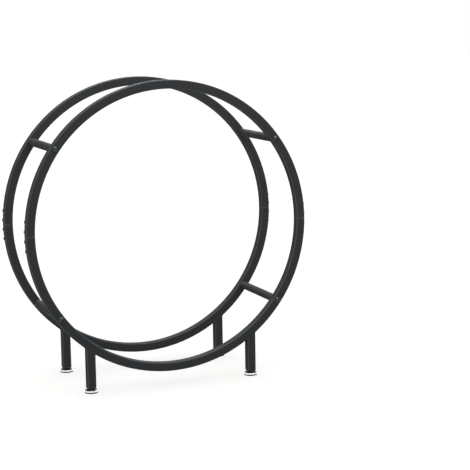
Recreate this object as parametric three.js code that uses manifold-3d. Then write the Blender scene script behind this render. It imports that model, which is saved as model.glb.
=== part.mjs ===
// Round firewood log rack: two hoops of square steel tube, each bolted together from an upper and a
// lower half, held apart by four round crossbars and standing on four legs with levelling feet.
// Millimetres, +X to the right seen from the front, +Y from front to rear, +Z up.
// The origin is on the floor under the middle of the rack.
import * as THREE from "three";
import { mergeVertices } from "three/addons/utils/BufferGeometryUtils.js";
import Module from "manifold-3d";

const wasm = await Module();
wasm.setup();

// Driving dimensions
const hoopRadius = 500; // outside of the tube
const hoopCentreHeight = 548; // above the floor
const rackDepth = 350; // front face of the front hoop to rear face of the rear hoop
const tubeSide = 30; // square tube of the hoops and legs
const tubeWall = 1.5;
const tubeCorner = 3; // outside corner radius
const legSpacing = 584; // between the left and right leg centres
const legBottomHeight = 18; // lower end of the leg tube, with the feet screwed in
const crossbarDiameter = 28;
const crossbarRise = 36; // degrees above and below the horizontal diameter
const screwDiameter = 8; // M8 throughout
const jointBoltPitch = 33; // along the outside of the hoop
const touchGap = 0.3; // between pieces that touch
const seamGap = 0.6; // visible butt joint between the two halves of a hoop

// Hardware, M8 screws with flanged button heads
const collarDiameter = 17.8;
const collarHeight = 1.2;
const domeDiameter = 14;
const headHeight = 4.4; // collar and dome
const socketAcrossFlats = 5;
const socketDepth = 2.6;
const crossbarScrewLength = 45;
const jointBoltLength = 12;
const clearance = 0.4; // radial, round a screw in a plain hole
const threadRoom = 0.3; // radial, round a screw in a tapped hole
const sleeveWall = 3;
const insertLength = 20;
const crossbarWall = 1.5;

// Levelling foot, from the floor up
const soleRadius = 22;
const soleHeight = 2.4;
const padRadius = 23;
const padRimHeight = 7.4;
const padHeight = 8.4;
const flangeRadius = 21.5;
const flangeHeight = 1.8;
const hubAcrossFlats = 22;
const hubHeight = 5.8; // with its flange
const studLength = 46; // above the hub
const plugDepth = 26; // how far the plug reaches up into the leg

// Facets
const hoopSteps = 40; // per half hoop
const sleeveSteps = 2; // into each half; a step is 38 mm along the tube's centre line
const cornerSteps = 1; // two facets round each corner of a square section
const holeSides = 8;
const screwSides = 10;
const roundSides = 20;

// Worked out from the above
const tubeInside = tubeSide - 2 * tubeWall;
const tubeCentreRadius = hoopRadius - tubeSide / 2;
const hoopOffset = (rackDepth - tubeSide) / 2; // hoop centre plane from the middle
const screwRadius = screwDiameter / 2;
const sleeveSide = tubeInside - 2 * touchGap;
const crossbarLength = rackDepth - 2 * tubeSide - 2 * touchGap;
const crossbarInsideRadius = crossbarDiameter / 2 - crossbarWall;
const plugSide = tubeInside - 2 * touchGap;
const hubBottomHeight = padHeight + touchGap;
const plugBottomHeight = hubBottomHeight + hubHeight + touchGap;

const ends = [
  { name: "front", side: -1 },
  { name: "rear", side: 1 },
];
const sides = [
  { name: "left", side: -1 },
  { name: "right", side: 1 },
];
const levels = [
  { name: "upper", side: 1 },
  { name: "lower", side: -1 },
];

// Finishes
const powderCoat = new THREE.MeshStandardMaterial({ color: 0x2b2f31, roughness: 0.5, metalness: 0 });
const blackOxide = new THREE.MeshStandardMaterial({ color: 0x1f2123, roughness: 0.35, metalness: 0.7 });
const zincPlate = new THREE.MeshStandardMaterial({ color: 0xa8abad, roughness: 0.35, metalness: 1 });
const nickelPlate = new THREE.MeshStandardMaterial({ color: 0xd2d2cf, roughness: 0.18, metalness: 1 });
const blackPlastic = new THREE.MeshStandardMaterial({ color: 0x17181a, roughness: 0.55, metalness: 0 });

// A closed geometry as a solid that can be cut and joined.
function toSolid(geometry) {
  const bare = geometry.clone();
  bare.deleteAttribute("normal");
  bare.deleteAttribute("uv");
  const merged = mergeVertices(bare, 1e-4);
  const corners = merged.index.array;
  const triVerts = [];
  for (let i = 0; i < corners.length; i += 3) {
    const [a, b, c] = corners.slice(i, i + 3);
    // a revolved profile leaves triangles without area at its poles
    if (a !== b && b !== c && c !== a) triVerts.push(a, b, c);
  }
  return new wasm.Manifold(
    new wasm.Mesh({
      numProp: 3,
      vertProperties: new Float32Array(merged.attributes.position.array),
      triVerts: new Uint32Array(triVerts),
    }),
  );
}

function toGeometry(solid) {
  const mesh = solid.getMesh();
  const geometry = new THREE.BufferGeometry();
  geometry.setAttribute("position", new THREE.BufferAttribute(mesh.vertProperties, 3));
  geometry.setIndex(new THREE.BufferAttribute(mesh.triVerts, 1));
  const flat = geometry.toNonIndexed();
  flat.computeVertexNormals();
  return flat;
}

function piece(name, geometry, material) {
  const mesh = new THREE.Mesh(geometry, material);
  mesh.name = name;
  return mesh;
}

const degrees = (angle) => (angle * Math.PI) / 180;

// The point of a hoop's own plane at a radius and an angle from +X.
const onHoop = (radius, angle, y = 0) =>
  new THREE.Vector3(radius * Math.cos(angle), y, radius * Math.sin(angle));

class HoopArc extends THREE.Curve {
  constructor(radius, from, to) {
    super();
    Object.assign(this, { radius, from, to });
  }
  getPoint(t, target = new THREE.Vector3()) {
    return target.copy(onHoop(this.radius, THREE.MathUtils.lerp(this.from, this.to, t)));
  }
}

// A square outline with rounded corners, drawn on a Shape or a Path.
function drawSquare(outline, side, corner) {
  const flat = side / 2 - corner;
  outline.moveTo(side / 2, -flat);
  outline.absarc(flat, flat, corner, 0, Math.PI / 2);
  outline.absarc(-flat, flat, corner, Math.PI / 2, Math.PI);
  outline.absarc(-flat, -flat, corner, Math.PI, 1.5 * Math.PI);
  outline.absarc(flat, -flat, corner, 1.5 * Math.PI, 2 * Math.PI);
  outline.closePath();
  return outline;
}

function drawSharpSquare(outline, side) {
  const half = side / 2;
  outline.moveTo(half, -half);
  outline.lineTo(half, half);
  outline.lineTo(-half, half);
  outline.lineTo(-half, -half);
  outline.closePath();
  return outline;
}

// The section of a square tube: rounded outside, plain inside.
function tubeSection(side, wall, corner) {
  const section = drawSquare(new THREE.Shape(), side, corner);
  section.holes.push(drawSharpSquare(new THREE.Path(), side - 2 * wall));
  return section;
}

const sweep = (section, path, steps) =>
  new THREE.ExtrudeGeometry(section, { steps, extrudePath: path, curveSegments: cornerSteps });

const straight = (section, length) =>
  new THREE.ExtrudeGeometry(section, { depth: length, bevelEnabled: false, curveSegments: cornerSteps });

// A revolved profile of [radius, height] pairs, its axis along +Z.
const revolve = (profile, segments) =>
  new THREE.LatheGeometry(
    profile.map(([radius, height]) => new THREE.Vector2(radius, height)),
    segments,
  ).rotateX(Math.PI / 2);

const unitY = new THREE.Vector3(0, 1, 0);
const unitZ = new THREE.Vector3(0, 0, 1);

// A solid rod of polygonal section between two points, its corners at the radius.
function rod(radius, from, to, segments) {
  const along = to.clone().sub(from);
  const turn = new THREE.Quaternion().setFromUnitVectors(unitY, along.clone().normalize());
  const middle = from.clone().add(to).multiplyScalar(0.5);
  return toSolid(
    new THREE.CylinderGeometry(radius, radius, along.length(), segments)
      .applyQuaternion(turn)
      .translate(middle.x, middle.y, middle.z),
  );
}

// The cutter of a round hole: its flats stand at the radius, so a screw of that radius goes through.
const bore = (radius, from, to) => rod(radius / Math.cos(Math.PI / holeSides), from, to, holeSides);

const cut = (solid, cutters) => cutters.reduce((rest, cutter) => rest.subtract(cutter), solid);

// Angles of the four bolts of a joint, counted from the seam.
const jointBoltAngles = [-1.5, -0.5, 0.5, 1.5].map((step) => (step * jointBoltPitch) / hoopRadius);

// Angle of a crossbar on its hoop.
function crossbarAngle(level, side) {
  const rise = degrees(crossbarRise) * level.side;
  return side.side > 0 ? rise : Math.PI - rise;
}

// Half a hoop: a bent square tube with the through holes of two crossbars and four bolt holes.
function halfHoop(level) {
  const margin = seamGap / 2 / tubeCentreRadius;
  const start = level.side > 0 ? 0 : Math.PI;
  const arc = new HoopArc(tubeCentreRadius, start + margin, start + Math.PI - margin);
  const tube = toSolid(sweep(tubeSection(tubeSide, tubeWall, tubeCorner), arc, hoopSteps));
  const through = sides.map((side) => {
    const angle = crossbarAngle(level, side);
    const reach = tubeSide;
    return bore(
      screwRadius + clearance,
      onHoop(tubeCentreRadius, angle, -reach),
      onHoop(tubeCentreRadius, angle, reach),
    );
  });
  const jointHoles = [0, Math.PI].flatMap((seam) =>
    jointBoltAngles
      .map((offset) => seam + offset)
      .filter((angle) => Math.sin(angle) * level.side > 0)
      .map((angle) =>
        bore(screwRadius + clearance, onHoop(tubeCentreRadius, angle), onHoop(hoopRadius + tubeSide, angle)),
      ),
  );
  return toGeometry(cut(tube, [...through, ...jointHoles]));
}

// The curved sleeve inside a joint, tapped in its outer wall. It is drawn on the +X side.
function jointSleeve() {
  // its facets lie along those of the two halves, so the gap round it is even
  const reach = (sleeveSteps * Math.PI) / hoopSteps;
  const section = drawSharpSquare(new THREE.Shape(), sleeveSide);
  section.holes.push(drawSharpSquare(new THREE.Path(), sleeveSide - 2 * sleeveWall));
  const arc = new HoopArc(tubeCentreRadius, -reach, reach);
  const body = toSolid(sweep(section, arc, 2 * sleeveSteps));
  const tapped = jointBoltAngles.map((angle) =>
    bore(screwRadius + threadRoom, onHoop(tubeCentreRadius, angle), onHoop(hoopRadius, angle)),
  );
  return toGeometry(cut(body, tapped));
}

// A flanged button-head screw along +Z: its collar stands on z = 0 and the shank points down.
function buttonScrew(length) {
  const collarRadius = collarDiameter / 2;
  const domeRadius = domeDiameter / 2;
  const profile = [
    [0, -length],
    [screwRadius, -length],
    [screwRadius, 0],
    [collarRadius, 0],
    [collarRadius, collarHeight],
    [domeRadius, collarHeight],
    [0.6 * domeRadius, headHeight],
    [0, headHeight],
  ];
  const socketRadius = socketAcrossFlats / Math.sqrt(3);
  const socket = rod(
    socketRadius,
    unitZ.clone().multiplyScalar(headHeight - socketDepth),
    unitZ.clone().multiplyScalar(headHeight + socketDepth),
    6,
  );
  return toGeometry(cut(toSolid(revolve(profile, screwSides)), [socket]));
}

// A tube or ring along +Z, from z = 0.
function roundTube(outside, inside, length, segments) {
  const profile = [
    [inside, 0],
    [outside, 0],
    [outside, length],
    [inside, length],
    [inside, 0],
  ];
  return revolve(profile, segments);
}

// A leg tube from z = 0, its top coped to the outside of the hoop that it is welded under.
function leg(side) {
  const overlap = tubeSide;
  const legX = (side.side * legSpacing) / 2;
  const hoopBelow = hoopCentreHeight - Math.sqrt(hoopRadius ** 2 - (legSpacing / 2) ** 2);
  const blank = toSolid(
    straight(tubeSection(tubeSide, tubeWall, tubeCorner), hoopBelow - legBottomHeight + overlap),
  );
  const centre = new THREE.Vector3(-legX, 0, hoopCentreHeight - legBottomHeight);
  const hoopSides = 180;
  const hoop = rod(
    hoopRadius + touchGap,
    centre.clone().setY(-tubeSide),
    centre.clone().setY(tubeSide),
    hoopSides,
  );
  return toGeometry(blank.subtract(hoop));
}

// The ribbed square plug in the foot of a leg, from z = 0, with a threaded hole down its middle.
function legPlug() {
  const proud = legBottomHeight - plugBottomHeight;
  const coreSide = plugSide - 2.4;
  const ribHeight = 2;
  const plugHeight = proud + plugDepth;
  const ribPitch = 8;
  const block = (side, from, height) =>
    toSolid(new THREE.BoxGeometry(side, side, height).translate(0, 0, from + height / 2));
  let plug = block(coreSide, 0, plugHeight).add(block(plugSide, 0, proud + ribHeight));
  for (let rib = 1; rib <= 3; rib += 1) {
    plug = plug.add(block(plugSide, proud + rib * ribPitch - ribHeight, ribHeight));
  }
  const hole = bore(
    screwRadius + threadRoom,
    unitZ.clone().multiplyScalar(-proud),
    unitZ.clone().multiplyScalar(plugHeight + proud),
  );
  return toGeometry(plug.subtract(hole));
}

// The upper half of a levelling foot: an M8 stud with a flanged hexagon hub moulded round its lower end.
function footStud() {
  const hubRadius = hubAcrossFlats / Math.sqrt(3);
  const base = new THREE.Vector3();
  const hub = rod(hubRadius, base, unitZ.clone().multiplyScalar(hubHeight), 6);
  const flange = rod(flangeRadius, base, unitZ.clone().multiplyScalar(flangeHeight), roundSides);
  const studProfile = [
    [0, 1],
    [screwRadius, 1],
    [screwRadius, hubHeight + studLength - 1],
    [screwRadius - 1, hubHeight + studLength],
    [0, hubHeight + studLength],
  ];
  return toGeometry(hub.add(flange).add(toSolid(revolve(studProfile, screwSides))));
}

// The pad: a plated cup over a thin sole, with a flat top for the hub.
function footPad() {
  const profile = [
    [0, 0],
    [soleRadius, 0],
    [soleRadius, soleHeight],
    [padRadius, soleHeight],
    [padRadius, padRimHeight],
    [padRadius - 1, padHeight],
    [0, padHeight],
  ];
  return revolve(profile, roundSides);
}

// Seats a piece drawn along +Z on a point, with +Z turned to face outwards.
function seat(mesh, point, outwards) {
  mesh.position.copy(point);
  mesh.quaternion.setFromUnitVectors(unitZ, outwards);
  return mesh;
}

function hoop(end) {
  const group = new THREE.Group();
  for (const level of levels) {
    group.add(piece(`${end.name}_hoop_${level.name}`, halfHoop(level), powderCoat));
  }
  for (const side of sides) {
    const seam = side.side > 0 ? 0 : Math.PI;
    const sleeve = piece(`joint_sleeve_${end.name}_${side.name}`, jointSleeve(), zincPlate);
    sleeve.rotation.y = -seam;
    group.add(sleeve);
    jointBoltAngles.forEach((offset, index) => {
      const name = `joint_bolt_${end.name}_${side.name}_${index + 1}`;
      const angle = side.side > 0 ? offset : seam - offset;
      const bolt = piece(name, buttonScrew(jointBoltLength), blackOxide);
      group.add(seat(bolt, onHoop(hoopRadius + touchGap, angle), onHoop(1, angle)));
    });
  }
  group.position.set(0, end.side * hoopOffset, hoopCentreHeight);
  return group;
}

// A crossbar with its two threaded end inserts and the screws that come in through the hoops.
function crossbar(level, side) {
  const group = new THREE.Group();
  const place = `${level.name}_${side.name}`;
  const bar = piece(
    `crossbar_${place}`,
    roundTube(crossbarDiameter / 2, crossbarInsideRadius, crossbarLength, roundSides),
    powderCoat,
  );
  seat(bar, new THREE.Vector3(0, -crossbarLength / 2, 0), unitY);
  group.add(bar);
  for (const end of ends) {
    const outwards = unitY.clone().multiplyScalar(end.side);
    const insert = piece(
      `crossbar_insert_${place}_${end.name}`,
      roundTube(crossbarInsideRadius - touchGap, screwRadius + threadRoom, insertLength, screwSides),
      zincPlate,
    );
    const barEnd = crossbarLength / 2 - touchGap;
    group.add(seat(insert, outwards.clone().multiplyScalar(barEnd - insertLength), outwards));
    const screw = piece(`crossbar_screw_${place}_${end.name}`, buttonScrew(crossbarScrewLength), blackOxide);
    group.add(seat(screw, outwards.clone().multiplyScalar(rackDepth / 2 + touchGap), outwards));
  }
  group.position.copy(onHoop(tubeCentreRadius, crossbarAngle(level, side)));
  group.position.z += hoopCentreHeight;
  return group;
}

// A leg with its plug and the levelling foot screwed into it.
function legAndFoot(end, side) {
  const group = new THREE.Group();
  const place = `${end.name}_${side.name}`;
  const tube = piece(`leg_${place}`, leg(side), powderCoat);
  tube.position.z = legBottomHeight;
  const plug = piece(`leg_plug_${place}`, legPlug(), blackPlastic);
  plug.position.z = plugBottomHeight;
  const stud = piece(`foot_stud_${place}`, footStud(), blackPlastic);
  stud.position.z = hubBottomHeight;
  const pad = piece(`foot_pad_${place}`, footPad(), nickelPlate);
  group.add(tube, plug, stud, pad);
  group.position.set((side.side * legSpacing) / 2, end.side * hoopOffset, 0);
  return group;
}

const rack = new THREE.Group();
rack.name = "firewood_log_rack";
for (const end of ends) {
  rack.add(hoop(end));
  for (const side of sides) {
    rack.add(legAndFoot(end, side));
  }
}
for (const level of levels) {
  for (const side of sides) {
    rack.add(crossbar(level, side));
  }
}

export default rack;
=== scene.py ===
import math

import bmesh
import bpy
from mathutils import Matrix, Quaternion, Vector


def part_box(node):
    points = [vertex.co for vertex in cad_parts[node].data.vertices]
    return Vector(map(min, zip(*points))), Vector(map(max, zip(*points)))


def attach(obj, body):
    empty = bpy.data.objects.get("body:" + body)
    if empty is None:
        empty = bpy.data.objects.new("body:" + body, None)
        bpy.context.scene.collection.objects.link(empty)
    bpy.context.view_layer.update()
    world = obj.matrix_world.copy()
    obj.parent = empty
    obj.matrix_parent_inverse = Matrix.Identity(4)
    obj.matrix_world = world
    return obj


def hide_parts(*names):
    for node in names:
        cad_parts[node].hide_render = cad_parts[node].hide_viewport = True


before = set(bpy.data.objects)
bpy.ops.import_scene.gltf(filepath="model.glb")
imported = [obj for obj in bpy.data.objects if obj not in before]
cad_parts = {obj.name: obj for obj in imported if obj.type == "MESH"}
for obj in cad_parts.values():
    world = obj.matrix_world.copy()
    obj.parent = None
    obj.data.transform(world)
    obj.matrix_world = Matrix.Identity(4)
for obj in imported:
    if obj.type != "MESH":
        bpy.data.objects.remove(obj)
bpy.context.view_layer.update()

mm = 0.001
crispAngle = 32  # degrees between faces from which an edge is crisp
mergeGap = 0.01 * mm

ends = ["front", "rear"]
sides = ["left", "right"]
levels = ["upper", "lower"]
places = [f"{end}_{side}" for end in ends for side in sides]
bars = [f"{level}_{side}" for level in levels for side in sides]


# small helpers
def addNode(tree, kind, inputs=None, **settings):
    # an input takes a plain value, a node, an output of one, or a list of those to join
    node = tree.nodes.new(kind)
    for name, value in settings.items():
        setattr(node, name, value)
    for socket, value in (inputs or {}).items():
        for source in value if isinstance(value, list) else [value]:
            if isinstance(source, bpy.types.Node):
                source = source.outputs[0]
            if isinstance(source, bpy.types.NodeSocket):
                tree.links.new(source, node.inputs[socket])
            else:
                node.inputs[socket].default_value = source
    return node


def linear(hexColour):
    # sRGB hex to the linear values that a shader takes
    channels = [int(hexColour[i:i + 2], 16) / 255 for i in (1, 3, 5)]
    return (*(c / 12.92 if c <= 0.04045 else ((c + 0.055) / 1.055) ** 2.4 for c in channels), 1)


def link(obj):
    bpy.context.scene.collection.objects.link(obj)
    return obj


def softEdges(mesh):
    # smooth over the rounded corners, crisp at the cut ends
    mesh.shade_smooth()
    mesh.set_sharp_from_angle(angle=math.radians(crispAngle))


def seat(piece, body, nodes):
    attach(piece, body)
    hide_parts(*nodes)


def middle(node):
    low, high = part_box(node)
    return (low + high) / 2


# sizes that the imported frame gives
hoopLow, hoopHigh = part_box("front_hoop_upper")
hoopHeight = hoopHigh.z - hoopHigh.x
rack = {
    "hoopRadius": hoopHigh.x,
    "hoopHeight": hoopHeight,
    "tubeSide": hoopHigh.y - hoopLow.y,
    "halfSeam": hoopLow.z - hoopHeight,
    "wall": 1.5 * mm,
    "corner": 3.2 * mm,
}
rack["tubeRadius"] = rack["hoopRadius"] - rack["tubeSide"] / 2


# camera and stage
cameraSetup = {
    "place": (-1.58338, -4.78017, 1.26410),
    "yaw": 21.5448,
    "pitch": 8.7101,
    "roll": -0.8691,
    "lens": 110.737,
    "sensor": 36,
}


def makeCamera(setup):
    data = bpy.data.cameras.new("camera")
    data.sensor_width = setup["sensor"]
    data.lens = setup["lens"]
    camera = link(bpy.data.objects.new("camera", data))
    yaw, pitch, roll = (math.radians(setup[name]) for name in ("yaw", "pitch", "roll"))
    turn = Matrix.Rotation(-yaw, 4, "Z") @ Matrix.Rotation(math.pi / 2 - pitch, 4, "X")
    camera.matrix_world = Matrix.Translation(setup["place"]) @ turn @ Matrix.Rotation(roll, 4, "Z")
    bpy.context.scene.camera = camera


stageSetup = {
    "floorSize": 60,
    "floorColour": "#ededeb",
    "floorRoughness": 0.9,
    "floorGlow": 0.47,
    "worldStrength": 0.72,
}


def seenDirectly(tree):
    # 1 for rays that show the background as it is: from the camera, a mirror or through glass
    path = addNode(tree, "ShaderNodeLightPath")
    mirrored = addNode(tree, "ShaderNodeMath", {
        0: path.outputs["Is Camera Ray"],
        1: path.outputs["Is Glossy Ray"],
    }, operation="MAXIMUM")
    return addNode(tree, "ShaderNodeMath", {
        0: mirrored,
        1: path.outputs["Is Transmission Ray"],
    }, operation="MAXIMUM")


def makeStage(setup):
    half = setup["floorSize"] / 2
    mesh = bpy.data.meshes.new("floor")
    corners = [(-half, -half, 0), (half, -half, 0), (half, half, 0), (-half, half, 0)]
    mesh.from_pydata(corners, [], [(0, 1, 2, 3)])
    floor = link(bpy.data.objects.new("floor", mesh))
    # a pale matt sweep; its glow takes it to white where nothing shades it
    material = bpy.data.materials.new("paleSweep")
    material.use_nodes = True
    tree = material.node_tree
    shader = tree.nodes["Principled BSDF"]
    shader.inputs["Base Color"].default_value = linear(setup["floorColour"])
    shader.inputs["Roughness"].default_value = setup["floorRoughness"]
    shader.inputs["Specular IOR Level"].default_value = 0
    shader.inputs["Emission Color"].default_value = (1, 1, 1, 1)
    glow = addNode(tree, "ShaderNodeMath", {
        0: seenDirectly(tree),
        1: setup["floorGlow"],
    }, operation="MULTIPLY")
    tree.links.new(glow.outputs[0], shader.inputs["Emission Strength"])
    mesh.materials.append(material)
    # the lamps leave the floor out, so it stays evenly white and keeps the soft shadow of the world's light
    unlit = bpy.data.collections.new("unlitFloor")
    unlit.objects.link(floor)
    unlit.collection_objects[0].light_linking.link_state = "EXCLUDE"

    world = bpy.data.worlds.new("studio")
    bpy.context.scene.world = world
    world.use_nodes = True
    tree = world.node_tree
    background = tree.nodes["Background"]
    background.inputs["Color"].default_value = (1, 1, 1, 1)
    strength = addNode(tree, "ShaderNodeMath", {
        0: seenDirectly(tree),
        1: 1 - setup["worldStrength"],
        2: setup["worldStrength"],
    }, operation="MULTIPLY_ADD")
    tree.links.new(strength.outputs[0], background.inputs["Strength"])


lamps = {
    # rims the screw heads and fills the front faces
    "overheadStrip": {"place": (0.3, -0.94, 3.07), "roll": -19, "size": (3.0, 0.6), "watts": 58},
    # draws the upper edges
    "backSoftbox": {"place": (0.9, 2.8, 2.4), "roll": 0, "size": (2.0, 1.2), "watts": 110},
}


def makeLamp(name, setup):
    data = bpy.data.lights.new(name, "AREA")
    data.shape = "RECTANGLE"
    data.size, data.size_y = setup["size"]
    data.energy = setup["watts"]
    lamp = link(bpy.data.objects.new(name, data))
    lamp.light_linking.receiver_collection = bpy.data.collections["unlitFloor"]
    lamp.location = setup["place"]
    aim = Vector((0, 0, rack["hoopHeight"])) - Vector(setup["place"])
    turn = aim.to_track_quat("-Z", "Y") @ Quaternion((0, 0, 1), math.radians(setup["roll"]))
    lamp.rotation_euler = turn.to_euler()


makeCamera(cameraSetup)
makeStage(stageSetup)
for name, setup in lamps.items():
    makeLamp(name, setup)
bpy.context.scene.view_settings.view_transform = "Standard"
print("camera, stage and lamps made")


# finishes
finishes = {}
noiseLow, noiseHigh = 0.3, 0.7  # a noise mostly stays between these


def newFinish(slot, name, look):
    material = bpy.data.materials.new(name)
    material.use_nodes = True
    tree = material.node_tree
    shader = tree.nodes["Principled BSDF"]
    shader.inputs["Metallic"].default_value = look["metallic"]
    shader.inputs["Specular IOR Level"].default_value = look["specular"]
    finishes[slot] = material
    return tree, shader, addNode(tree, "ShaderNodeTexCoord").outputs["Object"]


def toneAndGloss(tree, look, tone, flow):
    # one noise drives the tone and one the gloss, each between the look's two values
    colour = addNode(tree, "ShaderNodeMix", {
        "Factor": tone,
        "A": linear(look["dark"]),
        "B": linear(look["light"]),
    }, data_type="RGBA")
    gloss = addNode(tree, "ShaderNodeMapRange", {
        "Value": flow,
        "From Min": noiseLow,
        "From Max": noiseHigh,
        "To Min": look["smooth"],
        "To Max": look["rough"],
    })
    return colour.outputs["Result"], gloss.outputs["Result"]


def wire(tree, shader, outputs):
    for socket, output in outputs.items():
        tree.links.new(output, shader.inputs[socket])


powderCoatLook = {
    "dark": "#2b2d2f",
    "light": "#3c3e40",
    # painted highlight: the lighter colour along the rounded corners and the cut ends
    "edge": "#56595b",
    "specular": 0.02,
    "metallic": 0,
    "smooth": 0.58,  # roughness where the coat flowed out well
    "rough": 0.75,
    "orangePeel": 1.3,  # mm between the bumps
    "peelHeight": 0.05,  # mm
    "speck": 2.5,  # mm
    "cloud": 60,  # mm, slow change of gloss along the tube
}


def powderCoat(look):
    # satin black polyester powder, sprayed and baked: fine orange peel that breaks up every highlight,
    # and a painted highlight: a lighter line along the rounded corners and the cut ends
    tree, shader, place = newFinish("powder_coat", "satinBlackPowderCoat", look)
    speck = addNode(tree, "ShaderNodeTexNoise", {"Vector": place, "Scale": 1 / (look["speck"] * mm)})
    cloud = addNode(tree, "ShaderNodeTexNoise", {
        "Vector": place,
        "Scale": 1 / (look["cloud"] * mm),
        "Detail": 3,
    })
    colour, gloss = toneAndGloss(tree, look, speck, cloud)
    # painted highlight: the corner mask mixes the coat towards the lighter edge colour
    paintedHighlight = addNode(tree, "ShaderNodeMix", {
        "Factor": addNode(tree, "ShaderNodeAttribute", attribute_name="corner").outputs["Fac"],
        "A": colour,
        "B": linear(look["edge"]),
    }, data_type="RGBA")
    peel = addNode(tree, "ShaderNodeTexNoise", {"Vector": place, "Scale": 1 / (look["orangePeel"] * mm)})
    bump = addNode(tree, "ShaderNodeBump", {"Height": peel, "Distance": look["peelHeight"] * mm})
    wire(tree, shader, {
        "Base Color": paintedHighlight.outputs["Result"],
        "Roughness": gloss,
        "Normal": bump.outputs["Normal"],
    })


blackOxideLook = {
    "dark": "#0a0e12",
    "light": "#141a20",
    "specular": 0.65,
    "tint": "#e6edf2",
    "metallic": 0,
    "smooth": 0.14,
    "rough": 0.2,
    "mottle": 3.0,  # mm
    "grain": 0.4,  # mm, the forged skin under the oxide
    "grainHeight": 0.01,  # mm
}


def blackOxide(look):
    # steel screws blackened in a hot salt bath and oiled: near black with a bluish, fairly sharp shine
    tree, shader, place = newFinish("black_screws", "oiledBlackOxide", look)
    shader.inputs["Specular Tint"].default_value = linear(look["tint"])
    mottle = addNode(tree, "ShaderNodeTexNoise", {
        "Vector": place,
        "Scale": 1 / (look["mottle"] * mm),
        "Detail": 3,
    })
    colour, gloss = toneAndGloss(tree, look, mottle, mottle)
    grain = addNode(tree, "ShaderNodeTexNoise", {"Vector": place, "Scale": 1 / (look["grain"] * mm)})
    bump = addNode(tree, "ShaderNodeBump", {"Height": grain, "Distance": look["grainHeight"] * mm})
    wire(tree, shader, {"Base Color": colour, "Roughness": gloss, "Normal": bump.outputs["Normal"]})


zincLook = {
    "dark": "#a4aab0",
    "light": "#c8ccd0",
    "specular": 0.5,
    "metallic": 1,
    "smooth": 0.26,
    "rough": 0.42,
    "bloom": 6.0,  # mm, patches of passivation
}


def zincPlate(look):
    # electroplated zinc with clear passivation: bluish silver with milky patches
    tree, shader, place = newFinish("zinc_plate", "clearZincPlate", look)
    bloom = addNode(tree, "ShaderNodeTexNoise", {
        "Vector": place,
        "Scale": 1 / (look["bloom"] * mm),
        "Detail": 4,
    })
    colour, gloss = toneAndGloss(tree, look, bloom, bloom)
    wire(tree, shader, {"Base Color": colour, "Roughness": gloss})


nickelLook = {
    "dark": "#efede8",
    "light": "#fbfaf6",
    "specular": 0.5,
    "metallic": 1,
    "smooth": 0.22,
    "rough": 0.34,
    "haze": 5.0,  # mm
    "press": 0.8,  # mm, faint marks that the press left under the plating
    "pressHeight": 0.002,  # mm
}


def nickelPlate(look):
    # a pressed steel cup under bright nickel: warm silver, a blurred mirror of the floor and the leg
    tree, shader, place = newFinish("nickel_plate", "brightNickelPlate", look)
    haze = addNode(tree, "ShaderNodeTexNoise", {
        "Vector": place,
        "Scale": 1 / (look["haze"] * mm),
        "Detail": 3,
    })
    colour, gloss = toneAndGloss(tree, look, haze, haze)
    press = addNode(tree, "ShaderNodeTexNoise", {"Vector": place, "Scale": 1 / (look["press"] * mm)})
    bump = addNode(tree, "ShaderNodeBump", {"Height": press, "Distance": look["pressHeight"] * mm})
    wire(tree, shader, {"Base Color": colour, "Roughness": gloss, "Normal": bump.outputs["Normal"]})


nylonLook = {
    "dark": "#141516",
    "light": "#1e1f21",
    "specular": 0.4,
    "metallic": 0,
    "smooth": 0.42,
    "rough": 0.6,
    "flow": 9.0,  # mm, where the melt ran
    "texture": 0.45,  # mm, spark-eroded mould texture
    "textureHeight": 0.02,  # mm
}


def blackNylon(look):
    # injection moulded black nylon from a textured mould: even, dull and a little warmer than the coat
    tree, shader, place = newFinish("black_plastic", "mouldedBlackNylon", look)
    flow = addNode(tree, "ShaderNodeTexNoise", {
        "Vector": place,
        "Scale": 1 / (look["flow"] * mm),
        "Detail": 3,
    })
    colour, gloss = toneAndGloss(tree, look, flow, flow)
    texture = addNode(tree, "ShaderNodeTexVoronoi", {"Vector": place, "Scale": 1 / (look["texture"] * mm)})
    bump = addNode(tree, "ShaderNodeBump", {"Height": texture, "Distance": look["textureHeight"] * mm})
    wire(tree, shader, {"Base Color": colour, "Roughness": gloss, "Normal": bump.outputs["Normal"]})


powderCoat(powderCoatLook)
blackOxide(blackOxideLook)
zincPlate(zincLook)
nickelPlate(nickelLook)
blackNylon(nylonLook)
print("finishes mixed")


# Geometry Nodes
def newTree(name, sockets):
    tree = bpy.data.node_groups.new(name, "GeometryNodeTree")
    tree.interface.new_socket(name="Geometry", in_out="OUTPUT", socket_type="NodeSocketGeometry")
    for label, kind in sockets.items():
        tree.interface.new_socket(name=label, in_out="INPUT", socket_type="NodeSocket" + kind)
    return tree, addNode(tree, "NodeGroupInput").outputs


def closeTree(tree, geometry, finish):
    # every tree ends the same way: real geometry with its finish on it
    real = addNode(tree, "GeometryNodeRealizeInstances", {"Geometry": geometry})
    painted = addNode(tree, "GeometryNodeSetMaterial", {"Geometry": real, "Material": finish})
    addNode(tree, "NodeGroupOutput", {"Geometry": painted})


def grow(name, tree, values, carrier=None):
    # runs a tree once and keeps its result as a plain mesh
    piece = link(bpy.data.objects.new(name, carrier or bpy.data.meshes.new(name)))
    modifier = piece.modifiers.new("shape", "NODES")
    modifier.node_group = tree
    for socket in tree.interface.items_tree:
        if socket.in_out == "INPUT" and socket.name in values:
            modifier[socket.identifier] = values[socket.name]
    result = bpy.data.meshes.new_from_object(piece.evaluated_get(bpy.context.evaluated_depsgraph_get()))
    piece.modifiers.clear()
    piece.data = result
    result.name = name
    # the sweep leaves an empty material slot in front of the finish
    result.materials.clear()
    result.materials.append(values["Finish"])
    result.polygons.foreach_set("material_index", [0] * len(result.polygons))
    softEdges(result)
    return piece


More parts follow.
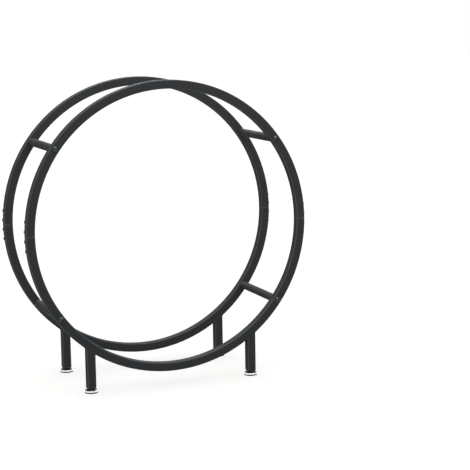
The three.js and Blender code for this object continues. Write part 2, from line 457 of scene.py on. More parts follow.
def pullToEnds(tree, path, length, steps, edge):
    # moves the last but one and then the second point of a path close to its ends;
    # with three points they are one, which goes to the lower end
    apart = 0.5  # closer than this, two point numbers are the same
    index = addNode(tree, "GeometryNodeInputIndex")
    lastButOne = addNode(tree, "ShaderNodeMath", {0: steps, 1: 2}, operation="SUBTRACT")
    high = addNode(tree, "ShaderNodeMath", {0: length, 1: edge}, operation="SUBTRACT")
    for number, height in ((lastButOne, high), (1, edge)):
        chosen = addNode(tree, "ShaderNodeMath", {0: index, 1: number, 2: apart}, operation="COMPARE")
        path = addNode(tree, "GeometryNodeSetPosition", {
            "Geometry": path,
            "Selection": chosen,
            "Position": addNode(tree, "ShaderNodeCombineXYZ", {"Z": height}),
        })
    return path


def straightTube(tree, outside, inside, length, steps, edge=0):
    # a hollow section from z = 0 up to the length, open at both ends
    top = addNode(tree, "ShaderNodeCombineXYZ", {"Z": length})
    line = addNode(tree, "GeometryNodeCurvePrimitiveLine", {"End": top})
    path = addNode(tree, "GeometryNodeResampleCurve", {"Curve": line, "Count": steps})
    if edge:
        path = pullToEnds(tree, path, length, steps, edge)
    outer = addNode(tree, "GeometryNodeCurveToMesh", {"Curve": path, "Profile Curve": outside})
    inner = addNode(tree, "GeometryNodeCurveToMesh", {"Curve": path, "Profile Curve": inside})
    inner = addNode(tree, "GeometryNodeFlipFaces", {"Mesh": inner})
    outline = addNode(tree, "GeometryNodeJoinGeometry", {0: [outside, inside]})
    rim = addNode(tree, "GeometryNodeFillCurve", {"Curve": outline}, mode="NGONS")
    upper = addNode(tree, "GeometryNodeTransform", {"Geometry": rim, "Translation": top})
    lower = addNode(tree, "GeometryNodeFlipFaces", {"Mesh": rim})
    skins = addNode(tree, "GeometryNodeJoinGeometry", {0: [outer, inner, upper, lower]})
    return addNode(tree, "GeometryNodeMergeByDistance", {"Geometry": skins, "Distance": mergeGap})


squareSection = {"Side": "Float", "Corner": "Float", "Hollow": "Float", "Hollow Corner": "Float"}
squareFinish = {
    "cornerSteps": 8,
    "cornerShare": 0.293,  # of the corner's radius, from the flat's line in to the middle of the arc
    "cutEdge": 1.0 * mm,  # the painted highlight runs this far from a cut end
}


def squareTube(tree, given, length, steps, openEnds):
    # drawn steel tube: the outside and inside corners share a centre
    outline, bore = (
        addNode(tree, "GeometryNodeFilletCurve", {
            "Curve": addNode(tree, "GeometryNodeCurvePrimitiveQuadrilateral", {
                "Width": given[side],
                "Height": given[side],
            }),
            "Count": squareFinish["cornerSteps"],
            "Radius": given[corner],
        }, mode="POLY")
        for side, corner in (("Side", "Corner"), ("Hollow", "Hollow Corner"))
    )
    edge = squareFinish["cutEdge"]
    tube = straightTube(tree, outline, bore, length, steps, edge)
    # masks the painted highlight on the rounded corners and the open ends:
    # 0 on the flats, 1 at the middle of a corner and at the cut
    spot = addNode(tree, "GeometryNodeInputPosition")
    aside = addNode(tree, "ShaderNodeVectorMath", {0: spot}, operation="ABSOLUTE")
    place = addNode(tree, "ShaderNodeSeparateXYZ", {0: aside})
    nearer = addNode(tree, "ShaderNodeMath", {
        0: place.outputs["X"],
        1: place.outputs["Y"],
    }, operation="MINIMUM")
    half = addNode(tree, "ShaderNodeMath", {0: given["Side"], 1: 0.5}, operation="MULTIPLY")
    arcStart = addNode(tree, "ShaderNodeMath", {0: half, 1: given["Corner"]}, operation="SUBTRACT")
    arcMiddle = addNode(tree, "ShaderNodeMath", {
        0: given["Corner"],
        1: -squareFinish["cornerShare"],
        2: half,
    }, operation="MULTIPLY_ADD")
    share = addNode(tree, "ShaderNodeMapRange", {
        "Value": nearer,
        "From Min": arcStart,
        "From Max": arcMiddle,
    })
    upward = place.outputs["Z"]
    downward = addNode(tree, "ShaderNodeMath", {0: length, 1: upward}, operation="SUBTRACT")
    # painted highlight along each open cut end
    for distance in (upward, downward)[:openEnds]:
        cutHighlight = addNode(tree, "ShaderNodeMapRange", {"Value": distance, "From Min": edge, "From Max": 0})
        share = addNode(tree, "ShaderNodeMath", {0: share, 1: cutHighlight}, operation="MAXIMUM")
    return addNode(tree, "GeometryNodeStoreNamedAttribute", {
        "Geometry": tube,
        "Name": "corner",
        "Value": share,
    })


sectionSizes = {
    "Side": rack["tubeSide"],
    "Corner": rack["corner"],
    "Hollow": rack["tubeSide"] - 2 * rack["wall"],
    "Hollow Corner": rack["corner"] - rack["wall"],
}


# hoops
hoopBend = {
    "steps": 145,  # along half a hoop
}


def hoopTree():
    # a straight square tube is made first and then rolled to the hoop's radius, as in the shop
    tree, given = newTree("rolledSquareTube", squareSection | {
        "Tube Radius": "Float", "Start": "Float", "Length": "Float", "Steps": "Int", "Centre": "Vector",
        "Finish": "Material",
    })
    tube = squareTube(tree, given, given["Length"], given["Steps"], openEnds=2)
    place = addNode(tree, "ShaderNodeSeparateXYZ", {0: addNode(tree, "GeometryNodeInputPosition")})
    along = addNode(tree, "ShaderNodeMath", {
        0: place.outputs["Z"],
        1: given["Tube Radius"],
    }, operation="DIVIDE")
    angle = addNode(tree, "ShaderNodeMath", {0: given["Start"], 1: along}, operation="ADD")
    radius = addNode(tree, "ShaderNodeMath", {
        0: given["Tube Radius"],
        1: place.outputs["X"],
    }, operation="ADD")
    spoke = addNode(tree, "ShaderNodeCombineXYZ", {"X": radius, "Y": place.outputs["Y"]})
    turned = addNode(tree, "ShaderNodeVectorRotate", {
        "Vector": spoke,
        "Axis": (0, -1, 0),
        "Angle": angle,
    }, rotation_type="AXIS_ANGLE")
    rolled = addNode(tree, "ShaderNodeVectorMath", {0: turned, 1: given["Centre"]}, operation="ADD")
    bent = addNode(tree, "GeometryNodeSetPosition", {"Geometry": tube, "Position": rolled})
    closeTree(tree, bent, given["Finish"])
    return tree


def makeHoops(bend):
    tree = hoopTree()
    margin = rack["halfSeam"] / rack["tubeRadius"]
    for end in ends:
        for level in levels:
            node = f"{end}_hoop_{level}"
            piece = grow(f"{node}_tube", tree, sectionSizes | {
                "Tube Radius": rack["tubeRadius"],
                "Start": margin if level == "upper" else math.pi + margin,
                "Length": rack["tubeRadius"] * (math.pi - 2 * margin),
                "Steps": bend["steps"],
                "Centre": (0, middle(node).y, rack["hoopHeight"]),
                "Finish": finishes["powder_coat"],
            })
            seat(piece, "frame", [node])


makeHoops(hoopBend)
print("hoops rolled")


# legs
legCut = {
    "gap": 0.3 * mm,  # root gap that the weld fills
    "steps": 3,  # along a leg
}


def copeHeight(tree, given, across):
    # height of the hoop's underside over a point that far to one side
    square = addNode(tree, "ShaderNodeMath", {0: across, 1: 2}, operation="POWER")
    reach = addNode(tree, "ShaderNodeMath", {0: given["Hoop Radius"], 1: 2}, operation="POWER")
    under = addNode(tree, "ShaderNodeMath", {0: reach, 1: square}, operation="SUBTRACT")
    drop = addNode(tree, "ShaderNodeMath", {0: under}, operation="SQRT")
    return addNode(tree, "ShaderNodeMath", {0: given["Hoop Height"], 1: drop}, operation="SUBTRACT")


def legTree():
    # a straight square tube stands on its place and its top is coped to the hoop above it
    tree, given = newTree("copedSquareTube", squareSection | {
        "Hoop Radius": "Float", "Hoop Height": "Float", "Foot": "Vector", "Length": "Float",
        "Finish": "Material",
    })
    tube = squareTube(tree, given, given["Length"], legCut["steps"], openEnds=1)
    spot = addNode(tree, "GeometryNodeInputPosition")
    height = addNode(tree, "ShaderNodeSeparateXYZ", {0: spot}).outputs["Z"]
    isTop = addNode(tree, "ShaderNodeMath", {
        0: height,
        1: 2 * squareFinish["cutEdge"],
    }, operation="GREATER_THAN")
    stood = addNode(tree, "ShaderNodeVectorMath", {0: spot, 1: given["Foot"]}, operation="ADD")
    place = addNode(tree, "ShaderNodeSeparateXYZ", {0: stood})
    coped = addNode(tree, "ShaderNodeCombineXYZ", {
        "X": place.outputs["X"],
        "Y": place.outputs["Y"],
        "Z": copeHeight(tree, given, place.outputs["X"]),
    })
    chosen = addNode(tree, "GeometryNodeSwitch", {
        "Switch": isTop,
        "False": stood,
        "True": coped,
    }, input_type="VECTOR")
    cut = addNode(tree, "GeometryNodeSetPosition", {"Geometry": tube, "Position": chosen})
    closeTree(tree, cut, given["Finish"])
    return tree


def makeLegs(cut):
    tree = legTree()
    for place in places:
        node = f"leg_{place}"
        low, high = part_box(node)
        centre = middle(node)
        piece = grow(f"{node}_tube", tree, sectionSizes | {
            "Hoop Radius": rack["hoopRadius"] + cut["gap"],
            "Hoop Height": rack["hoopHeight"],
            "Foot": (centre.x, centre.y, low.z),
            "Length": high.z - low.z,
            "Finish": finishes["powder_coat"],
        })
        seat(piece, "frame", [node])


makeLegs(legCut)
print("legs cut")


# weld beads
weldBead = {
    "radius": 1.9 * mm,
    "inset": 1.5 * mm,  # how far it is dressed back on the front and rear of the tube
    "ripple": 2.2 * mm,  # from one ripple to the next
    "rippleDepth": 0.13,
    "troughs": 0.87,  # size of the bead between the ripples
    "handScale": 180,  # fine unevenness of a hand-held torch
    "sides": 12,
    "corner": 4 * mm,
    "cornerSteps": 6,
    "steps": 300,
    "seed": 7,
}


def weldTree():
    # one bead round the top of each leg, in the corner under the hoop, rippled by the torch's steps
    tree, given = newTree("weldBeads", {
        "Leg Tops": "Geometry", "Side": "Float", "Inset": "Float", "Corner": "Float",
        "Hoop Radius": "Float", "Hoop Height": "Float", "Radius": "Float", "Ripple": "Float",
        "Ripple Depth": "Float", "Steps": "Int", "Seed": "Int", "Finish": "Material",
    })
    depth = addNode(tree, "ShaderNodeMath", {
        0: given["Inset"],
        1: -2,
        2: given["Side"],
    }, operation="MULTIPLY_ADD")
    square = addNode(tree, "GeometryNodeCurvePrimitiveQuadrilateral", {
        "Width": given["Side"],
        "Height": depth,
    })
    rounded = addNode(tree, "GeometryNodeFilletCurve", {
        "Curve": square,
        "Count": weldBead["cornerSteps"],
        "Radius": given["Corner"],
    }, mode="POLY")
    loops = addNode(tree, "GeometryNodeInstanceOnPoints", {"Points": given["Leg Tops"], "Instance": rounded})
    real = addNode(tree, "GeometryNodeRealizeInstances", {"Geometry": loops})
    path = addNode(tree, "GeometryNodeResampleCurve", {"Curve": real, "Count": given["Steps"]})
    place = addNode(tree, "ShaderNodeSeparateXYZ", {0: addNode(tree, "GeometryNodeInputPosition")})
    coped = addNode(tree, "ShaderNodeCombineXYZ", {
        "X": place.outputs["X"],
        "Y": place.outputs["Y"],
        "Z": copeHeight(tree, given, place.outputs["X"]),
    })
    laid = addNode(tree, "GeometryNodeSetPosition", {"Geometry": path, "Position": coped})
    length = addNode(tree, "GeometryNodeSplineParameter").outputs["Length"]
    steps = addNode(tree, "ShaderNodeMath", {0: length, 1: given["Ripple"]}, operation="DIVIDE")
    saw = addNode(tree, "ShaderNodeMath", {0: steps}, operation="FRACT")
    hand = addNode(tree, "ShaderNodeTexNoise", {
        "W": given["Seed"],
        "Scale": weldBead["handScale"],
    }, noise_dimensions="4D")
    swell = addNode(tree, "ShaderNodeMath", {0: saw, 1: hand}, operation="ADD")
    size = addNode(tree, "ShaderNodeMath", {
        0: swell,
        1: given["Ripple Depth"],
        2: weldBead["troughs"],
    }, operation="MULTIPLY_ADD")
    profile = addNode(tree, "GeometryNodeCurvePrimitiveCircle", {
        "Resolution": weldBead["sides"],
        "Radius": given["Radius"],
    })
    bead = addNode(tree, "GeometryNodeCurveToMesh", {
        "Curve": laid,
        "Profile Curve": profile,
        "Scale": size,
    })
    closeTree(tree, bead, given["Finish"])
    return tree


def makeWelds(bead):
    carrier = bpy.data.meshes.new("legTops")
    centres = [middle(f"leg_{place}") for place in places]
    carrier.from_pydata([(centre.x, centre.y, 0) for centre in centres], [], [])
    piece = grow("leg_weld_beads", weldTree(), {
        "Side": rack["tubeSide"],
        "Inset": bead["inset"],
        "Corner": bead["corner"],
        "Hoop Radius": rack["hoopRadius"],
        "Hoop Height": rack["hoopHeight"],
        "Radius": bead["radius"],
        "Ripple": bead["ripple"],
        "Ripple Depth": bead["rippleDepth"],
        "Steps": bead["steps"],
        "Seed": bead["seed"],
        "Finish": finishes["powder_coat"],
    }, carrier)
    seat(piece, "frame", [])


makeWelds(weldBead)
print("legs welded")


# crossbars
barSides = 64


def crossbarTree():
    # one round tube, repeated at the corners of a rectangle
    tree, given = newTree("crossbars", {
        "Outside": "Float", "Inside": "Float", "Length": "Float", "Spread X": "Float", "Spread Z": "Float",
        "Start": "Vector", "Finish": "Material",
    })
    outline, bore = (
        addNode(tree, "GeometryNodeCurvePrimitiveCircle", {"Resolution": barSides, "Radius": given[side]})
        for side in ("Outside", "Inside")
    )
    tube = straightTube(tree, outline, bore, given["Length"], 2)
    laid = addNode(tree, "GeometryNodeTransform", {"Geometry": tube, "Rotation": (-math.pi / 2, 0, 0)})
    corners = addNode(tree, "GeometryNodeCurvePrimitiveQuadrilateral", {
        "Width": given["Spread X"],
        "Height": given["Spread Z"],
    })
    upright = addNode(tree, "GeometryNodeTransform", {
        "Geometry": corners,
        "Translation": given["Start"],
        "Rotation": (math.pi / 2, 0, 0),
    })
    placed = addNode(tree, "GeometryNodeInstanceOnPoints", {"Points": upright, "Instance": laid})
    closeTree(tree, placed, given["Finish"])
    return tree


def makeCrossbars():
    low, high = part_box("crossbar_upper_right")
    centre = middle("crossbar_upper_right")
    piece = grow("crossbar_tubes", crossbarTree(), {
        "Outside": (high.x - low.x) / 2,
        "Inside": (high.x - low.x) / 2 - rack["wall"],
        "Length": high.y - low.y,
        "Spread X": 2 * centre.x,
        "Spread Z": 2 * (centre.z - rack["hoopHeight"]),
        "Start": (0, low.y, rack["hoopHeight"]),
        "Finish": finishes["powder_coat"],
    })
    seat(piece, "frame", [f"crossbar_{bar}" for bar in bars])


makeCrossbars()
print("crossbars placed")


# threads
metricThread = {
    "pitch": 1.25 * mm,
    "depth": 0.72 * mm,
    "rowsPerTurn": 5,
    "sides": 20,
}
threadSizes = {
    "Shank Radius": "Float", "Shank Length": "Float", "Pitch": "Float", "Thread Depth": "Float",
    "Rows": "Int",
}


def threadValues(shankRadius, length):
    return {
        "Shank Radius": shankRadius,
        "Shank Length": length,
        "Pitch": metricThread["pitch"],
        "Thread Depth": metricThread["depth"],
        "Rows": round(length / metricThread["pitch"] * metricThread["rowsPerTurn"]),
    }


def threadedRod(tree, given):
    # a cylinder along Z round the origin, whose wall winds in and out once a turn and tapers at its ends
    rod = addNode(tree, "GeometryNodeMeshCylinder", {
        "Vertices": metricThread["sides"],
        "Side Segments": given["Rows"],
        "Radius": given["Shank Radius"],
        "Depth": given["Shank Length"],
    })
    spot = addNode(tree, "GeometryNodeInputPosition")
    place = addNode(tree, "ShaderNodeSeparateXYZ", {0: spot})
    angle = addNode(tree, "ShaderNodeMath", {
        0: place.outputs["Y"],
        1: place.outputs["X"],
    }, operation="ARCTAN2")
    turns = addNode(tree, "ShaderNodeMath", {0: place.outputs["Z"], 1: given["Pitch"]}, operation="DIVIDE")
    phase = addNode(tree, "ShaderNodeMath", {
        0: angle,
        1: -1 / (2 * math.pi),
        2: turns,
    }, operation="MULTIPLY_ADD")
    saw = addNode(tree, "ShaderNodeMath", {0: phase, 1: 0.5}, operation="PINGPONG")
    flank = addNode(tree, "ShaderNodeMath", {0: saw, 1: 2}, operation="MULTIPLY")
    off = addNode(tree, "ShaderNodeMath", {0: place.outputs["Z"]}, operation="ABSOLUTE")
    half = addNode(tree, "ShaderNodeMath", {
        0: given["Shank Length"],
        1: -0.5,
        2: off,
    }, operation="MULTIPLY_ADD")
    taper = addNode(tree, "ShaderNodeMath", {0: half, 1: given["Pitch"]}, operation="DIVIDE")
    chamfer = addNode(tree, "ShaderNodeMath", {0: taper, 1: 1}, operation="ADD")
    cut = addNode(tree, "ShaderNodeMath", {0: flank, 1: chamfer}, operation="MAXIMUM")
    share = addNode(tree, "ShaderNodeMath", {
        0: given["Thread Depth"],
        1: given["Shank Radius"],
    }, operation="DIVIDE")
    loss = addNode(tree, "ShaderNodeMath", {0: cut, 1: share}, operation="MULTIPLY")
    keep = addNode(tree, "ShaderNodeMath", {0: 1, 1: loss}, operation="SUBTRACT")
    squeeze = addNode(tree, "ShaderNodeCombineXYZ", {"X": keep, "Y": keep, "Z": 1})
    wound = addNode(tree, "ShaderNodeVectorMath", {0: spot, 1: squeeze}, operation="MULTIPLY")
    return addNode(tree, "GeometryNodeSetPosition", {"Geometry": rod, "Position": wound})


# screws
buttonHead = {
    "height": 4.4 * mm,
    "domeRadius": 7 * mm,
    "domeFoot": 1.9 * mm,  # where the dome rises from the collar
    "flat": 5 * mm,  # radius of the flat top
    "collarRadius": 8.9 * mm,
    "collarEdge": 0.3 * mm,  # upright edge
    "collarHeight": 2 * mm,
    "collarBevel": 42,  # degrees from flat
    "sides": 48,
    "rings": 18,
    "acrossFlats": 5 * mm,
    "socketDepth": 2.6 * mm,
    "socketTurn": 0.05,  # radians, off the head's own facets
    "shankRadius": 4 * mm,
    "jointBoltLength": 12 * mm,
    "boltsPerJoint": 4,
    "sink": 1 * mm,  # how far the shank reaches up into the head
    "seed": 11,
}


def screwTree():
    # flanged button heads: a dome with a hexagon socket on a bevelled collar and a threaded shank,
    # each screw stopped at its own angle
    tree, given = newTree("flangedButtonScrews", {"Seats": "Geometry"} | threadSizes | {
        "Head Height": "Float", "Ball Radius": "Float", "Ball Centre": "Float", "Collar Radius": "Float",
        "Collar Edge": "Float", "Collar Height": "Float", "Collar Slope": "Float", "Socket Radius": "Float",
        "Socket Depth": "Float", "Sink": "Float", "Seed": "Int", "Finish": "Material",
    })
    blank = addNode(tree, "GeometryNodeMeshCylinder", {
        "Vertices": buttonHead["sides"],
        "Fill Segments": buttonHead["rings"],
        "Radius": given["Collar Radius"],
        "Depth": given["Head Height"],
    }, fill_type="TRIANGLE_FAN")
    spot = addNode(tree, "GeometryNodeInputPosition")
    place = addNode(tree, "ShaderNodeSeparateXYZ", {0: spot})
    isTop = addNode(tree, "ShaderNodeMath", {0: place.outputs["Z"], 1: 0}, operation="GREATER_THAN")
    flat = addNode(tree, "ShaderNodeVectorMath", {0: spot, 1: (1, 1, 0)}, operation="MULTIPLY")
    reach = addNode(tree, "ShaderNodeVectorMath", {0: flat}, operation="LENGTH").outputs["Value"]
    square = addNode(tree, "ShaderNodeMath", {0: reach, 1: 2}, operation="POWER")
    ball = addNode(tree, "ShaderNodeMath", {0: given["Ball Radius"], 1: 2}, operation="POWER")
    rise = addNode(tree, "ShaderNodeMath", {0: ball, 1: square}, operation="SUBTRACT")
    root = addNode(tree, "ShaderNodeMath", {0: rise}, operation="SQRT")
    dome = addNode(tree, "ShaderNodeMath", {0: root, 1: given["Ball Centre"]}, operation="ADD")
    button = addNode(tree, "ShaderNodeMath", {0: dome, 1: given["Head Height"]}, operation="MINIMUM")
    inset = addNode(tree, "ShaderNodeMath", {0: given["Collar Radius"], 1: reach}, operation="SUBTRACT")
    bevel = addNode(tree, "ShaderNodeMath", {
        0: inset,
        1: given["Collar Slope"],
        2: given["Collar Edge"],
    }, operation="MULTIPLY_ADD")
    collar = addNode(tree, "ShaderNodeMath", {0: bevel, 1: given["Collar Height"]}, operation="MINIMUM")
    top = addNode(tree, "ShaderNodeMath", {0: button, 1: collar}, operation="MAXIMUM")
    height = addNode(tree, "ShaderNodeMath", {0: top, 1: isTop}, operation="MULTIPLY")
    up = addNode(tree, "ShaderNodeCombineXYZ", {"Z": height})
    domed = addNode(tree, "ShaderNodeVectorMath", {0: flat, 1: up}, operation="ADD")
    head = addNode(tree, "GeometryNodeSetPosition", {"Geometry": blank, "Position": domed})
    bit = addNode(tree, "GeometryNodeMeshCylinder", {
        "Vertices": 6,
        "Radius": given["Socket Radius"],
        "Depth": addNode(tree, "ShaderNodeMath", {0: given["Socket Depth"], 1: 2}, operation="MULTIPLY"),
    })
    lift = addNode(tree, "ShaderNodeCombineXYZ", {"Z": given["Head Height"]})
    raised = addNode(tree, "GeometryNodeTransform", {
        "Geometry": bit,
        "Translation": lift,
        "Rotation": (0, 0, buttonHead["socketTurn"]),
    })
    broached = addNode(tree, "GeometryNodeMeshBoolean", {
        "Mesh 1": head,
        "Mesh 2": raised,
    }, operation="DIFFERENCE", solver="EXACT")
    down = addNode(tree, "ShaderNodeMath", {
        0: given["Shank Length"],
        1: -0.5,
        2: given["Sink"],
    }, operation="MULTIPLY_ADD")
    shank = addNode(tree, "GeometryNodeTransform", {
        "Geometry": threadedRod(tree, given),
        "Translation": addNode(tree, "ShaderNodeCombineXYZ", {"Z": down}),
    })
    screw = addNode(tree, "GeometryNodeJoinGeometry", {0: [broached, shank]})
    outwards = addNode(tree, "GeometryNodeInputNamedAttribute", {
        "Name": "outwards",
    }, data_type="FLOAT_VECTOR")
    facing = addNode(tree, "FunctionNodeAlignRotationToVector", {"Vector": outwards}, axis="Z")
    driven = addNode(tree, "GeometryNodeInstanceOnPoints", {
        "Points": given["Seats"],
        "Instance": screw,
        "Rotation": facing,
    })
    spin = addNode(tree, "FunctionNodeRandomValue", {
        "Max": 2 * math.pi,
        "Seed": given["Seed"],
    }, data_type="FLOAT")
    turned = addNode(tree, "GeometryNodeRotateInstances", {
        "Instances": driven,
        "Rotation": addNode(tree, "ShaderNodeCombineXYZ", {"Z": spin.outputs["Value"]}),
    })
    closeTree(tree, turned, given["Finish"])
    return tree


def makeScrews(head):
    # the dome is part of a ball that meets its foot on the collar and the flat top
    rise = head["height"] - head["domeFoot"]
    ballSpan = head["flat"] ** 2 - head["domeRadius"] ** 2
    centre = (ballSpan + head["height"] ** 2 - head["domeFoot"] ** 2) / (2 * rise)
    tree = screwTree()
    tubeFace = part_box("rear_hoop_upper")[1].y
    sets = {"crossbar_screws": {}, "joint_bolts": {}}
    for bar in bars:
        for end in ends:
            node = f"crossbar_screw_{bar}_{end}"
            outwards = Vector((0, -1 if end == "front" else 1, 0))
            spot = middle(node)
            spot.y = outwards.y * tubeFace
            sets["crossbar_screws"][node] = (spot, outwards)
    for place in places:
        for number in range(1, head["boltsPerJoint"] + 1):
            node = f"joint_bolt_{place}_{number}"
            # a bolt is even about its own line, so its mean point shows which way it faces
            points = [vertex.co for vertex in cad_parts[node].data.vertices]
            mean = sum(points, Vector()) / len(points)
            hub = Vector((0, mean.y, rack["hoopHeight"]))
            outwards = (mean - hub).normalized()
            sets["joint_bolts"][node] = (hub + outwards * rack["hoopRadius"], outwards)
    for name, seats in sets.items():
        carrier = bpy.data.meshes.new(name + "Seats")
        carrier.from_pydata([spot for spot, outwards in seats.values()], [], [])
        arrows = carrier.attributes.new("outwards", "FLOAT_VECTOR", "POINT")
        for arrow, (spot, outwards) in zip(arrows.data, seats.values()):
            arrow.vector = outwards
        low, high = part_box(next(iter(seats)))
        size = high - low
        length = size.y - head["height"] if name == "crossbar_screws" else head["jointBoltLength"]
        piece = grow(name, tree, threadValues(head["shankRadius"], length + head["sink"]) | {
            "Head Height": head["height"],
            "Ball Radius": math.hypot(head["domeRadius"], head["domeFoot"] - centre),
            "Ball Centre": centre,
            "Collar Radius": head["collarRadius"],
            "Collar Edge": head["collarEdge"],
            "Collar Height": head["collarHeight"],
            "Collar Slope": math.tan(math.radians(head["collarBevel"])),
            "Socket Radius": head["acrossFlats"] / math.sqrt(3),
            "Socket Depth": head["socketDepth"],
            "Sink": head["sink"],
            "Seed": head["seed"],
            "Finish": finishes["black_screws"],
        }, carrier)
        seat(piece, "frame", list(seats))


makeScrews(buttonHead)
print("screws driven")


# feet and plugs
def stackRings(name, rings, count, ringShaped=False):
    # each ring is (height, reach), reach giving the distance from the middle at an angle;
    # ring-shaped stacks close on themselves round a hole, the others get a flat face at each end
    shape = bmesh.new()
    angles = [2 * math.pi * k / count for k in range(count)]
    loops = []
    for height, reach in rings:
        points = [(reach(a) * math.cos(a), reach(a) * math.sin(a), height) for a in angles]
        loops.append([shape.verts.new(point) for point in points])
    pairs = list(zip(loops, loops[1:]))
    if ringShaped:
        pairs.append((loops[-1], loops[0]))
    else:
        shape.faces.new(reversed(loops[0]))
        shape.faces.new(loops[-1])
    for lower, upper in pairs:
        for k in range(count):
            following = (k + 1) % count
            shape.faces.new((lower[k], lower[following], upper[following], upper[k]))
    mesh = bpy.data.meshes.new(name)
    shape.to_mesh(mesh)
    shape.free()
    return mesh


def circle(radius):
    return lambda angle: radius


def hexagon(acrossFlats, turned):
    # the corners are turned down to a circle where it is smaller
    def reach(angle):
        flat = (angle + math.pi / 6) % (math.pi / 3) - math.pi / 6
        return min(acrossFlats / 2 / math.cos(flat), turned)
    return reach


def roundedSquare(side, corner):
    def reach(angle):
        fold = abs((angle + math.pi / 4) % (math.pi / 2) - math.pi / 4)
        middleOfCorner = side / 2 - corner
        straight = side / 2 / math.cos(fold)
        if straight * math.sin(fold) <= middleOfCorner:
            return straight
        along = middleOfCorner * (math.cos(fold) + math.sin(fold))
        aside = middleOfCorner * (math.cos(fold) - math.sin(fold))
        return along + math.sqrt(corner ** 2 - aside ** 2)
    return reach


def seatMesh(name, mesh, spot, body, slot, nodes):
    mesh.transform(Matrix.Translation(spot))
    piece = link(bpy.data.objects.new(name, mesh))
    mesh.materials.append(finishes[slot])
    softEdges(mesh)
    seat(piece, body, nodes)


footSize = {
    "padRadius": 23 * mm,
    "padTop": 9.3 * mm,
    "padSides": 96,
    "lip": 0.8 * mm,  # rolled edge of the cup
    "lipSteps": 6,
    "shoulder": 1 * mm,
    "shoulderSteps": 9,
    "soleRadius": 22.4 * mm,
    "soleHeight": 4.1 * mm,
    "soleEdge": [(0, 0.6), (0.15, 0.15), (0.5, 0)],  # mm, height and inset of its rounded lower edge
    "flangeRadius": 21 * mm,
    "flangeEdge": [(0, 0.4), (0.4, 0), (1.4, 0.1), (1.8, 0.6)],  # mm, height and inset
    "hubFoot": 2.3 * mm,  # height over the cup where the hub starts
    "hubFlats": 22 * mm,
    "hubHeight": 5.8 * mm,
    "hubFillet": 0.3 * mm,
    "hubTopInset": 0.3 * mm,
    "hubChamfer": 0.9 * mm,
    "chamferSteps": 5,
    "hubSides": 72,
    "rodRadius": 4 * mm,
    "rodStart": 3 * mm,  # above the underside of the hub
}


def padRings(size):
    # a pressed cup over the sole: rolled lip, upright wall, round shoulder and flat top
    outer, lip, shoulder = size["padRadius"], size["lip"], size["shoulder"]
    bottom = size["soleHeight"]
    rings = [(bottom, circle(outer - 2 * lip))]
    for step in range(size["lipSteps"] + 1):
        angle = math.pi / 2 * step / size["lipSteps"]
        rings.append((bottom + lip * (1 - math.cos(angle)), circle(outer - lip + lip * math.sin(angle))))
    for step in range(size["shoulderSteps"] + 1):
        angle = math.pi / 2 * step / size["shoulderSteps"]
        rings.append((
            size["padTop"] - shoulder + shoulder * math.sin(angle),
            circle(outer - shoulder + shoulder * math.cos(angle)),
        ))
    return rings


def soleRings(size):
    # the anti-slip sole shows as a dark line under the cup, which it is pressed into
    radius = size["soleRadius"]
    rings = [(height * mm, circle(radius - inset * mm)) for height, inset in size["soleEdge"]]
    return rings + [(size["soleHeight"] + size["lip"] / 2, circle(radius))]


def hubRings(size, top):
    # a moulded hexagon on a thin round flange, its corners turned at the top as on a nut
    flats, fillet, steps = size["hubFlats"], size["hubFillet"], size["chamferSteps"]
    corner = flats / math.sqrt(3)
    foot = size["padTop"] + size["hubFoot"]
    rings = [
        (size["padTop"] + height * mm, circle(size["flangeRadius"] - inset * mm))
        for height, inset in size["flangeEdge"]
    ]
    rings.append((foot, circle(corner + fillet)))
    rings.append((foot + fillet, hexagon(flats, corner)))
    for step in range(steps + 1):
        turned = corner + (flats / 2 - size["hubTopInset"] - corner) * step / steps
        rings.append((top - size["hubChamfer"] * (1 - step / steps), hexagon(flats, turned)))
    return rings


def rodTree():
    tree, given = newTree("threadedRod", threadSizes | {"Middle": "Vector", "Finish": "Material"})
    stood = addNode(tree, "GeometryNodeTransform", {
        "Geometry": threadedRod(tree, given),
        "Translation": given["Middle"],
    })
    closeTree(tree, stood, given["Finish"])
    return tree


def makeFeet(size):
    tree = rodTree()
    for place in places:
        body, pad, stud = f"foot_{place}", f"foot_pad_{place}", f"foot_stud_{place}"
        low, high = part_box(stud)
        spot = middle(pad)
        spot.z = 0
        cup = stackRings(pad, padRings(size), size["padSides"])
        seatMesh(f"{pad}_cup", cup, spot, body, "nickel_plate", [pad])
        sole = stackRings("sole", soleRings(size), size["padSides"])
        seatMesh(f"foot_sole_{place}", sole, spot, body, "black_plastic", [])
        hub = stackRings("hub", hubRings(size, low.z + size["hubHeight"]), size["hubSides"])
        seatMesh(f"foot_hub_{place}", hub, spot, body, "black_plastic", [stud])
        bottom = low.z + size["rodStart"]
        rod = grow(f"foot_rod_{place}", tree, threadValues(size["rodRadius"], high.z - bottom) | {
            "Middle": (spot.x, spot.y, (bottom + high.z) / 2),
            "Finish": finishes["zinc_plate"],
        })
        seat(rod, body, [])


makeFeet(footSize)
print("feet made")


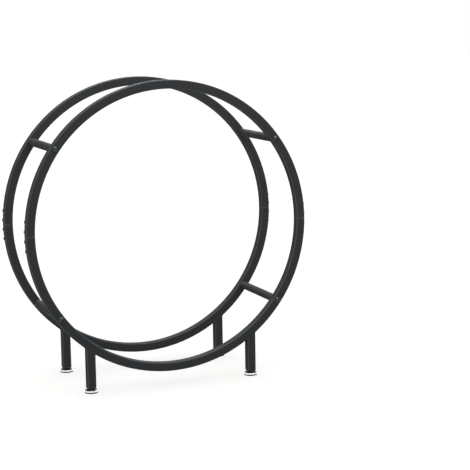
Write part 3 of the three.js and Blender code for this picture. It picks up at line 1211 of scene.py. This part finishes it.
plugSize = {
    "flange": 28.4 * mm,
    "core": 24 * mm,
    "rib": 26.4 * mm,
    "ribPitch": 8 * mm,
    "ribHeight": 2 * mm,
    "corner": 2.4 * mm,
    "chamfer": 0.8 * mm,
    "lowerEdge": [(0, 2), (0.3, 0.7), (1, 0)],  # chamfers, height and width lost
    "upperEdge": [(0.15, 0), (0.05, 0.3)],  # mm, depth under the tube's end and width lost
    "hole": 4.3 * mm,  # radius of the threaded hole
    "ribs": 3,  # above the first
    "barb": 0.6 * mm,  # how far a rib's top stands out from the core
    "sides": 144,
}


def plugRings(size, low, seatHeight, high):
    # a flange under the tube's end, then barbed ribs that grip inside it
    def square(side):
        return roundedSquare(side, size["corner"])
    flange, chamfer = size["flange"], size["chamfer"]
    rings = [(low + up * chamfer, square(flange - lost * chamfer)) for up, lost in size["lowerEdge"]]
    rings += [(seatHeight - down * mm, square(flange - lost * mm)) for down, lost in size["upperEdge"]]
    rings += [
        (seatHeight, square(size["rib"])),
        (seatHeight + size["ribHeight"], square(size["rib"])),
        (seatHeight + size["ribHeight"], square(size["core"])),
    ]
    for rib in range(1, size["ribs"] + 1):
        top = seatHeight + rib * size["ribPitch"]
        rings.append((top - size["ribHeight"], square(size["core"])))
        rings.append((top - size["ribHeight"], square(size["rib"])))
        rings.append((top, square(size["core"] + size["barb"])))
    rings.append((high, square(size["core"])))
    rings.append((high, circle(size["hole"])))
    rings.append((low, circle(size["hole"])))
    return rings


def makePlugs(size):
    for place in places:
        node = f"leg_plug_{place}"
        low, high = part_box(node)
        spot = middle(node)
        spot.z = 0
        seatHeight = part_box(f"leg_{place}")[0].z
        rings = plugRings(size, low.z, seatHeight, high.z)
        moulding = stackRings(node, rings, size["sides"], ringShaped=True)
        seatMesh(f"{node}_moulding", moulding, spot, "frame", "black_plastic", [node])


makePlugs(plugSize)
print("plugs fitted")

# the sleeves and inserts stay as packed, zinc plated: they show only through the seams
for name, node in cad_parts.items():
    if name.startswith(("joint_sleeve_", "crossbar_insert_")):
        for materialSlot in node.material_slots:
            materialSlot.material = finishes["zinc_plate"]
